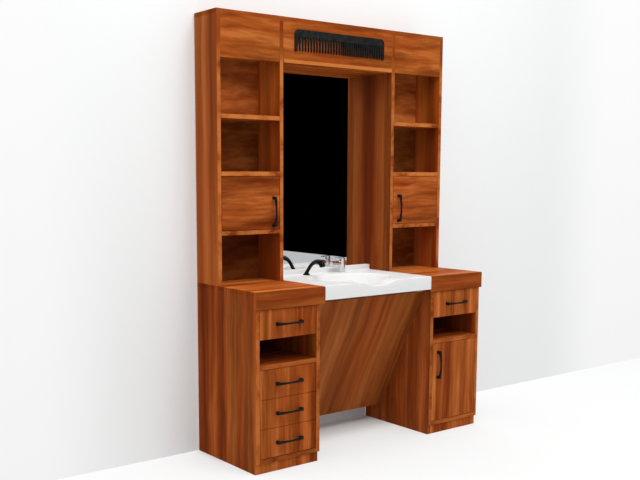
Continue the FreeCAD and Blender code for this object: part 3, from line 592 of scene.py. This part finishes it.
# basin: oval bowl, neck rest in the front rim, hollow below the deck, lip along the mirror
basinShape = {
    "frontDrop": 0.0645,
    "bowlHalf": (0.225, 0.160),
    "bowlDepth": 0.136,
    # share of the bowl's half widths against share of its depth
    "section": [(0.34, 1.0), (0.45, 0.96), (0.55, 0.87), (0.65, 0.72), (0.76, 0.50), (0.92, 0.14),
                (0.965, 0.04), (1.0, 0.0)],
    "wasteRadius": 0.022,
    "wall": 0.012,
    "deck": 0.014,
    "neckDip": 0.020,
    "neckFlat": 0.034,
    "neckReach": 0.120,
    "rim": 0.007,            # rounding at the bowl's rim
    "arris": 0.0025,
    "footBevel": 0.0015,
    "skirt": 0.014,          # thickness of the outer wall
    "skirtLean": 0.0001,
    "lipHeight": 0.025,
    "lipThickness": 0.016,
    "lipInset": 0.005,       # from the lip to the deck's back edge
    "lipFoot": 0.005,        # hollow where the lip meets the deck
    "lipCrown": 0.003,
    "lipBevel": 0.001,
    "lipSunk": 0.004,
    "step": 0.011,           # between points along the outline
    # rings of points: by share of the bowl's half widths, and between its rim and the deck's edge
    "bowlRings": [0.22, 0.34, 0.40, 0.45, 0.50, 0.55, 0.60, 0.65, 0.70, 0.76, 0.81, 0.86, 0.90, 0.93, 0.95,
                  0.965, 0.98, 0.99, 1.0, 1.01, 1.025, 1.05],
    "deckRings": [0.25, 0.5, 0.75],
    "underRings": [1.0, 0.92, 0.84, 0.76, 0.65, 0.55, 0.45, 0.34],
}


def bowlDown(share):
    section = basinShape["section"]
    if share <= section[0][0]:
        return 1.0
    for (a, x), (b, y) in zip(section, section[1:]):
        if share <= b:
            return x + (y - x) * (share - a) / (b - a)
    return 0.0


def lipProfile(back, deckTop, lipTop):
    shape = basinShape
    front = back - shape["lipThickness"]
    foot, crown, bevel, sunk = (shape["lip" + part] for part in ("Foot", "Crown", "Bevel", "Sunk"))
    turns = [math.radians(turn) for turn in (0, 30, 60, 90)]
    profile = [(front - foot, deckTop - sunk)]
    for t in turns:
        profile.append((front - foot + foot * math.sin(t), deckTop + foot - foot * math.cos(t)))
    for t in turns:
        profile.append((front + crown - crown * math.cos(t), lipTop - crown + crown * math.sin(t)))
    return profile + [(back - bevel, lipTop), (back, lipTop - bevel), (back, deckTop - sunk)]


def basinPiece():
    shape = basinShape
    low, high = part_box("basin")
    wasteLow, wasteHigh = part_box("waste_fitting")
    centre = (wasteLow.xy + wasteHigh.xy) / 2
    top = high.z - shape["lipHeight"]
    bottom = top - shape["frontDrop"]
    bowlFloor = top - shape["bowlDepth"]
    halfX, halfY = shape["bowlHalf"]
    arris, bevel, wall = shape["arris"], shape["footBevel"], shape["wall"]

    def dip(x, y):
        if y > centre.y:
            return 0.0
        share = (abs(x - centre.x) - shape["neckFlat"]) / (shape["neckReach"] - shape["neckFlat"])
        share = min(max(share, 0.0), 1.0)
        return shape["neckDip"] * (1.0 - share * share * (3.0 - 2.0 * share))

    def softLow(a, b, reach):
        share = min(max(0.5 + 0.5 * (b - a) / reach, 0.0), 1.0)
        return b + (a - b) * share - reach * share * (1.0 - share)

    corners = [low.xy, Vector((high.x, low.y)), high.xy, Vector((low.x, high.y))]
    outline = []
    for a, b in zip(corners, corners[1:] + corners[:1]):
        count = round((b - a).length / shape["step"])
        outline += [a.lerp(b, i / count) for i in range(count)]
    turns = [math.atan2((p.y - centre.y) / halfY, (p.x - centre.x) / halfX) for p in outline]

    def oval(share, widen, height):
        ring = []
        for turn in turns:
            x = centre.x + (halfX * share + widen) * math.cos(turn)
            y = centre.y + (halfY * share + widen) * math.sin(turn)
            ring.append(Vector((x, y, height(x, y))))
        return ring

    def inset(distance, height):
        ring = []
        for p in outline:
            x = min(max(p.x, low.x + distance), high.x - distance)
            y = min(max(p.y, low.y + distance), high.y - distance)
            ring.append(Vector((x, y, height(x, y))))
        return ring

    def circle(z):
        radius = shape["wasteRadius"]
        return [Vector((centre.x + radius * math.cos(t), centre.y + radius * math.sin(t), z)) for t in turns]

    def deckAt(x, y):
        return top - dip(x, y)

    def deckUnder(x, y):
        return deckAt(x, y) - shape["deck"]

    # bowl from the waste up to the rim, then the deck out to its arris
    rings = [circle(bowlFloor)]
    for share in shape["bowlRings"]:
        inside = top - shape["bowlDepth"] * bowlDown(share)
        slope = top + (share - 1.0) * halfX if share > 1.0 else inside
        rings.append(oval(share, 0.0, lambda x, y, z=slope: softLow(z, deckAt(x, y), shape["rim"])))
    rimRing, edgeRing = rings[-1], inset(arris, deckAt)
    for share in shape["deckRings"]:
        points = [a.lerp(b, share) for a, b in zip(rimRing, edgeRing)]
        rings.append([Vector((p.x, p.y, deckAt(p.x, p.y))) for p in points])
    rings.append(edgeRing)
    for turn in (30, 60, 90):
        t = math.radians(turn)
        drop = arris * (1 - math.cos(t))
        rings.append(inset(arris * (1 - math.sin(t)), lambda x, y, drop=drop: deckAt(x, y) - drop))
    # down the outside, and back under the deck and round the bowl
    rings.append(inset(0.0, lambda x, y: (deckAt(x, y) + bottom) / 2))
    rings.append(inset(0.0, lambda x, y: bottom + bevel))
    rings.append(inset(bevel, lambda x, y: bottom))
    rings.append(inset(shape["skirt"], lambda x, y: bottom))
    rings.append(inset(shape["skirt"] + shape["skirtLean"], deckUnder))
    for share in shape["underRings"]:
        z = top - shape["bowlDepth"] * bowlDown(share) - wall
        rings.append(oval(share, wall, lambda x, y, z=z: min(z, deckUnder(x, y))))
    rings.append(circle(bowlFloor - wall))

    form = bmesh.new()
    skin(form, [[form.verts.new(p) for p in ring] for ring in rings], looped=True)
    profile = lipProfile(high.y - shape["lipInset"], top, high.z)
    ends = [[form.verts.new((x, y, z)) for y, z in profile] for x in (low.x, high.x)]
    skin(form, ends)
    form.faces.new(ends[0])
    form.faces.new(list(reversed(ends[1])))
    return newPiece("basinCasting", form, "root", basinGlaze, "basin")


basinPiece()
print("basin cast")


# hand spray: leaning stem, thick neck and a blunt head that looks down
sprayShape = {
    # forward and up
    "path": [(0.0, 0.0), (0.0047, 0.0075), (0.0150, 0.0200), (0.0310, 0.0375), (0.0480, 0.0512),
             (0.0725, 0.0612), (0.0960, 0.0630), (0.1125, 0.0590), (0.1215, 0.0500), (0.1245, 0.0425)],
    "radius": [0.0112, 0.0092, 0.0086, 0.0087, 0.0094, 0.0110, 0.0130, 0.0144, 0.0148, 0.0138],
    "stem": 0.030,
    "stemRadius": 0.0078,
    "shoulder": 0.0001,      # from the stem's top to the collar
    "seatGap": 0.0003,
    "headRim": [(0.0012, 0.0006), (0.0020, 0.0018)],    # past the last point, and how much narrower
    "facePlate": 0.0122,
    "plateRim": [(0.0020, 0.0), (0.0010, 0.0004)],
    "around": 40,
    "perStep": 5,
}


# even steps along a smooth run through the given values
def smoothRun(values, steps):
    run = []
    for i in range(len(values) - 1):
        a, b = values[max(i - 1, 0)], values[i]
        c, d = values[i + 1], values[min(i + 2, len(values) - 1)]
        for k in range(steps):
            t = k / steps
            run.append(b + (c - a) * (0.5 * t) + (a * 2 - b * 5 + c * 4 - d) * (0.5 * t * t)
                       + (b * 3 - a - c * 3 + d) * (0.5 * t * t * t))
    run.append(values[-1])
    return run


def sprayPiece():
    shape = sprayShape
    low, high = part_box("spray_holder")
    seat = Vector(((low.x + high.x) / 2, (low.y + high.y) / 2, high.z + shape["seatGap"]))
    path = smoothRun([Vector((0.0, -forward, up)) for forward, up in shape["path"]], shape["perStep"])
    radii = smoothRun(shape["radius"], shape["perStep"])
    tip, heading = path[-1], (path[-1] - path[-2]).normalized()
    upright = Vector((0, 0, 1))
    stem = [-shape["stem"] * upright, -shape["shoulder"] * upright]
    rims = shape["headRim"] + shape["plateRim"]
    centres = stem + path + [tip + heading * past for past, narrower in rims]
    sizes = [shape["stemRadius"]] * len(stem) + radii
    sizes += [radii[-1] - narrower for past, narrower in shape["headRim"]]
    sizes += [shape["facePlate"] - narrower for past, narrower in shape["plateRim"]]

    form = bmesh.new()
    rows = []
    turns = [2 * math.pi * k / shape["around"] for k in range(shape["around"])]
    for i, (centre, radius) in enumerate(zip(centres, sizes)):
        if i <= len(stem):
            ahead = upright
        elif i >= len(stem) + len(path):
            ahead = heading
        else:
            ahead = centres[i + 1] - centres[i - 1]
        turn = upright.rotation_difference(ahead)
        ring = [turn @ Vector((radius * math.cos(t), radius * math.sin(t), 0)) for t in turns]
        rows.append([form.verts.new(seat + centre + point) for point in ring])
    skin(form, rows)
    form.faces.new(list(reversed(rows[0])))
    form.faces.new(rows[-1])
    return newPiece("sprayHandset", form, "hand_spray", sprayBlack, "hand_spray", 50.0)


sprayPiece()
print("hand spray made")


# raised comb on the header: coarse teeth on the left half, fine on the right
combShape = {
    "width": 0.554,
    "height": 0.099,
    "thick": 0.008,
    "spine": 0.034,
    "corner": 0.022,         # rounding of the spine's ends
    "guard": 0.020,          # broad tooth at each end
    "guardTaper": 0.006,
    "coarse": (0.0165, 0.0095),    # pitch and width of a tooth
    "fine": (0.0115, 0.0066),
    "tip": 0.004,            # height of a tooth's point
    "tipShare": 0.22,        # and its slope, by the tooth's width
    "middleX": -0.004,
    "middleZ": 1.9005,
    "arris": 0.0010,
}


def combTeeth(halfWidth):
    shape = combShape
    left, right = -halfWidth + shape["guard"], halfWidth - shape["guard"]
    teeth = []
    for start, end, (pitch, width) in ((left, 0.0, shape["coarse"]), (0.0, right, shape["fine"])):
        count = int((end - start) / pitch)
        gap = (end - start) / count
        for i in range(count):
            middle = start + gap * (i + 0.5)
            teeth.append((middle - width / 2, middle + width / 2))
    return teeth


def combOutline():
    shape = combShape
    halfWidth, halfHeight = shape["width"] / 2, shape["height"] / 2
    corner, guard, taper, tip = (shape[key] for key in ("corner", "guard", "guardTaper", "tip"))
    spineLow = halfHeight - shape["spine"]
    turns = [math.radians(turn) for turn in range(0, 91, 15)]
    outline = [(-halfWidth, -halfHeight + tip)]
    cornerLow = halfHeight - corner
    for t in turns:
        outline.append((-halfWidth + corner * (1 - math.cos(t)), cornerLow + corner * math.sin(t)))
    for t in turns:
        outline.append((halfWidth - corner + corner * math.sin(t), cornerLow + corner * math.cos(t)))
    outline += [(halfWidth, -halfHeight + tip), (halfWidth - tip, -halfHeight),
                (halfWidth - guard + taper, -halfHeight), (halfWidth - guard, spineLow)]
    for a, b in reversed(combTeeth(halfWidth)):
        slope = (b - a) * shape["tipShare"]
        outline += [(b, spineLow), (b - slope, -halfHeight + tip), ((a + b) / 2, -halfHeight),
                    (a + slope, -halfHeight + tip), (a, spineLow)]
    outline += [(-halfWidth + guard, spineLow), (-halfWidth + guard - taper, -halfHeight),
                (-halfWidth + tip, -halfHeight)]
    return outline


def combPiece():
    shape = combShape
    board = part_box("header_boards")[0].y
    points = [(shape["middleX"] + x, shape["middleZ"] + z) for x, z in combOutline()]
    form = bmesh.new()
    rows = [[form.verts.new((x, y, z)) for x, z in points] for y in (board, board - shape["thick"])]
    skin(form, rows)
    form.faces.new(rows[0])
    form.faces.new(list(reversed(rows[1])))
    comb = newPiece("raisedComb", form, "root", signBlack, None, 30.0)
    easeEdges(comb, shape["arris"])
    return comb


combPiece()
print("comb made")


# room: floor, wall and the dark end of the room that the mirror looks at
roomLooks = {
    "floor": (0.66, 0.66, 0.66),
    "floorSeen": (0.880, 0.888, 0.890),    # floor as the camera and the mirror see it
    "floorFar": (0.60, 0.605, 0.62),       # and further off to the right
    "farFrom": (3.0, 3.8),
    "floorNearPaintedLight": (0.900, 0.930, 0.935),    # painted light: brighter and cooler close in front, against the shade and the warm bounce light from the wood
    "nearAside": (0.95, 0.65),
    "nearAhead": (-0.80, -0.35),
    "floorLeft": -9.0,
    "floorRight": 6.595,
    "floorFront": -11.0,
    "floorBack": 6.0,
    "wall": (0.925, 0.940, 0.942),
    "wallFootShade": (0.860, 0.875, 0.877),     # painted shade: the wall is a little darker towards the floor
    "wallRise": 2.4,
    "wallTop": 7.0,
    "wallGap": 0.004,
    "footAbove": 0.24,                     # top of the strip behind the knee panel, above the panel's foot
    "footGap": 0.001,
    "mottle": 0.985,
    "roughness": 0.9,
    # share of plain white in what the camera sees: by y and x on the floor, by x on the wall
    "floorLift": 0.46,
    "liftAhead": (0.16, 0.0),
    "liftAside": (0.69, 0.74),
    "wallLift": [(-1.50, 0.85), (-1.02, 0.30), (-0.74, 0.16), (-0.68, 0.30), (1.80, 0.30),
                 (2.45, 0.90)],
    "liftTones": ((0.92, 0.92, 0.92), (1.0, 1.0, 1.0)),
    "dark": (0.0, 0.0, 0.0),
    "darkPlace": (0.4, (-20.0, -1.0), (-9.0, 12.0)),    # past the floor's right end, y and z
}


def mattPaint(name):
    material, tree, shader, place = startMaterial(name + "Paint")
    shader.inputs["Roughness"].default_value = roomLooks["roughness"]
    shader.inputs["Specular IOR Level"].default_value = 0.0
    return material, tree, shader, place["Object"]


def clouded(tree, place, colour):
    cloud = noise(tree, place, scale=0.7, detail=2.0)["Fac"]
    return mottled(tree, cloud, tuple(c * roomLooks["mottle"] for c in colour), colour)


# the ground looks white by its own tone, so that no more light falls on the unit for it
def liftToWhite(tree, surface, tone, share):
    glow = put(tree, "Emission", Strength=1.0, Color=mixColours(tree, tone, *roomLooks["liftTones"]))
    path = tree.nodes.new("ShaderNodeLightPath")
    lifted = put(tree, "MixShader", Fac=product(tree, path.outputs["Is Camera Ray"], share))
    tree.links.new(surface, lifted.inputs[1])
    tree.links.new(glow.outputs[0], lifted.inputs[2])
    return lifted.outputs[0]


def clearFromBehind(tree, surface):
    clear = tree.nodes.new("ShaderNodeBsdfTransparent")
    side = tree.nodes.new("ShaderNodeNewGeometry")
    either = put(tree, "MixShader", Fac=side.outputs["Backfacing"])
    tree.links.new(surface, either.inputs[1])
    tree.links.new(clear.outputs[0], either.inputs[2])
    return either.outputs[0]


# brighter where the floor is looked at than in the light that it throws back
def floorPaint():
    looks = roomLooks
    material, tree, shader, place = mattPaint("floor")
    paint, at = clouded(tree, place, looks["floor"]), axes(tree, place)
    away = maths(tree, "ABSOLUTE", at[0])
    looked = mixColours(tree, span(tree, at[0], *looks["farFrom"]), looks["floorSeen"], looks["floorFar"])
    # painted light on the floor close in front of the unit
    close = product(tree, span(tree, away, *looks["nearAside"]), span(tree, at[1], *looks["nearAhead"]))
    looked = mixColours(tree, close, looked, looks["floorNearPaintedLight"])
    path = tree.nodes.new("ShaderNodeLightPath")
    seen = maths(tree, "MAXIMUM", path.outputs["Is Camera Ray"], path.outputs["Is Glossy Ray"])
    plug(tree, shader.inputs["Base Color"], mixColours(tree, seen, paint, looked))
    ahead, aside = span(tree, at[1], *looks["liftAhead"]), span(tree, away, *looks["liftAside"])
    lit = maths(tree, "MAXIMUM", ahead, aside)
    surface = liftToWhite(tree, shader.outputs[0], lit, product(tree, lit, looks["floorLift"]))
    tree.links.new(surface, tree.nodes["Material Output"].inputs["Surface"])
    return material


def wallPaint(name, lifted):
    looks = roomLooks
    material, tree, shader, place = mattPaint(name)
    paint, at = clouded(tree, place, looks["wall"]), axes(tree, place)
    rise = span(tree, at[2], 0.0, looks["wallRise"])
    # painted shade: the wall, and its white lift, darken towards the floor
    plug(tree, shader.inputs["Base Color"], mixColours(tree, rise, looks["wallFootShade"], paint))
    surface = shader.outputs[0]
    if lifted:
        start, end = looks["wallLift"][0][0], looks["wallLift"][-1][0]
        stops = [((x - start) / (end - start), (share, share, share)) for x, share in looks["wallLift"]]
        surface = liftToWhite(tree, surface, rise, ramp(tree, span(tree, at[0], start, end), stops))
    tree.links.new(clearFromBehind(tree, surface), tree.nodes["Material Output"].inputs["Surface"])
    return material


def darkPaint():
    material, tree, shader, place = mattPaint("darkEnd")
    plug(tree, shader.inputs["Base Color"], roomLooks["dark"])
    return material


def stageSheet(name, corners, material):
    mesh = bpy.data.meshes.new(name)
    mesh.from_pydata(corners, [], [(0, 1, 2, 3)])
    mesh.materials.append(material)
    sheet = bpy.data.objects.new(name, mesh)
    scene.collection.objects.link(sheet)
    return sheet


def wallCorners(left, right, y, low, high):
    return [(left, y, low), (right, y, low), (right, y, high), (left, y, high)]


low, high = (Vector(corner) for corner in cadBox)
left, right = roomLooks["floorLeft"], roomLooks["floorRight"]
front, back = roomLooks["floorFront"], roomLooks["floorBack"]
wallY = high.y + roomLooks["wallGap"]
stageSheet("floor", [(left, front, low.z), (right, front, low.z), (right, back, low.z),
                     (left, back, low.z)], floorPaint())
wall = stageSheet("wall", wallCorners(left, right, wallY, low.z, roomLooks["wallTop"]),
                  wallPaint("wall", True))
wall.visible_diffuse = False
wall.visible_shadow = False
# the foot of the wall behind the knee panel keeps light from coming in under it
kneeLow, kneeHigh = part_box("knee_panel")
footTop = kneeLow.z + roomLooks["footAbove"]
footY = wallY - roomLooks["footGap"]
stageSheet("wallBehindKnees", wallCorners(kneeLow.x, kneeHigh.x, footY, low.z, footTop),
           wallPaint("wallBehindKnees", False))
past, (nearY, farY), (lowZ, highZ) = roomLooks["darkPlace"]
darkEnd = stageSheet("darkEnd", [(right + past, nearY, lowZ), (right + past, farY, lowZ),
                                 (right + past, farY, highZ), (right + past, nearY, highZ)], darkPaint())
# seen only in reflections: a black sheet that paints the mirror and the chrome dark, and neither lights nor
# shades the unit
darkEnd.visible_camera = False
darkEnd.visible_diffuse = False
darkEnd.visible_shadow = False
print("floor and wall set")


# light: a pale surround, brighter overhead, and one broad lamp in front and high
lightLooks = {
    "horizon": 0.50,
    "zenith": 1.10,
    "lampPower": 92.0,
    "lampSize": 2.6,
    "lampPlace": (-0.3, -2.2, 4.6),
    "lampAim": (0.0, 0.0, 0.9),
}
world = bpy.data.worlds.new("room")
scene.world = world
world.use_nodes = True
tree = world.node_tree
background = tree.nodes["Background"]
background.inputs["Color"].default_value = (1.0, 1.0, 1.0, 1.0)
path = tree.nodes.new("ShaderNodeLightPath")
seen = maths(tree, "MAXIMUM", path.outputs["Is Camera Ray"], path.outputs["Is Glossy Ray"])
seen = maths(tree, "MAXIMUM", seen, path.outputs["Is Transmission Ray"])
skyward = axes(tree, tree.nodes.new("ShaderNodeTexCoord").outputs["Generated"])[2]
glow = span(tree, skyward, 0.0, 1.0, lightLooks["horizon"], lightLooks["zenith"])
strength = put(tree, "Mix", Factor=seen, A=glow, B=1.0)
tree.links.new(strength.outputs[0], background.inputs["Strength"])

lampData = bpy.data.lights.new("broadLamp", "AREA")
lampData.shape = "DISK"
lampData.size = lightLooks["lampSize"]
lampData.energy = lightLooks["lampPower"]
lamp = bpy.data.objects.new("broadLamp", lampData)
scene.collection.objects.link(lamp)
lamp.location = lightLooks["lampPlace"]
lamp.rotation_euler = (Vector(lightLooks["lampAim"]) - lamp.location).to_track_quat("-Z", "Y").to_euler()


# camera
viewLooks = {
    "place": (-2.8863, -3.3249, 1.2808),
    "turn": 36.95,           # degrees from straight at the wall
    "dip": 7.11,             # degrees below level
    "lens": 51.21,
    "sensor": 36.0,
    "shift": (0.0547, 0.0781),
    "farthest": 60.0,
}
cameraData = bpy.data.cameras.new("view")
cameraData.sensor_width = viewLooks["sensor"]
cameraData.lens = viewLooks["lens"]
cameraData.shift_x, cameraData.shift_y = viewLooks["shift"]
cameraData.clip_end = viewLooks["farthest"]
camera = bpy.data.objects.new("view", cameraData)
scene.collection.objects.link(camera)
camera.location = viewLooks["place"]
camera.rotation_euler = (math.radians(90.0 - viewLooks["dip"]), 0.0, -math.radians(viewLooks["turn"]))
scene.camera = camera
scene.view_settings.view_transform = "Standard"
print("light and camera set")
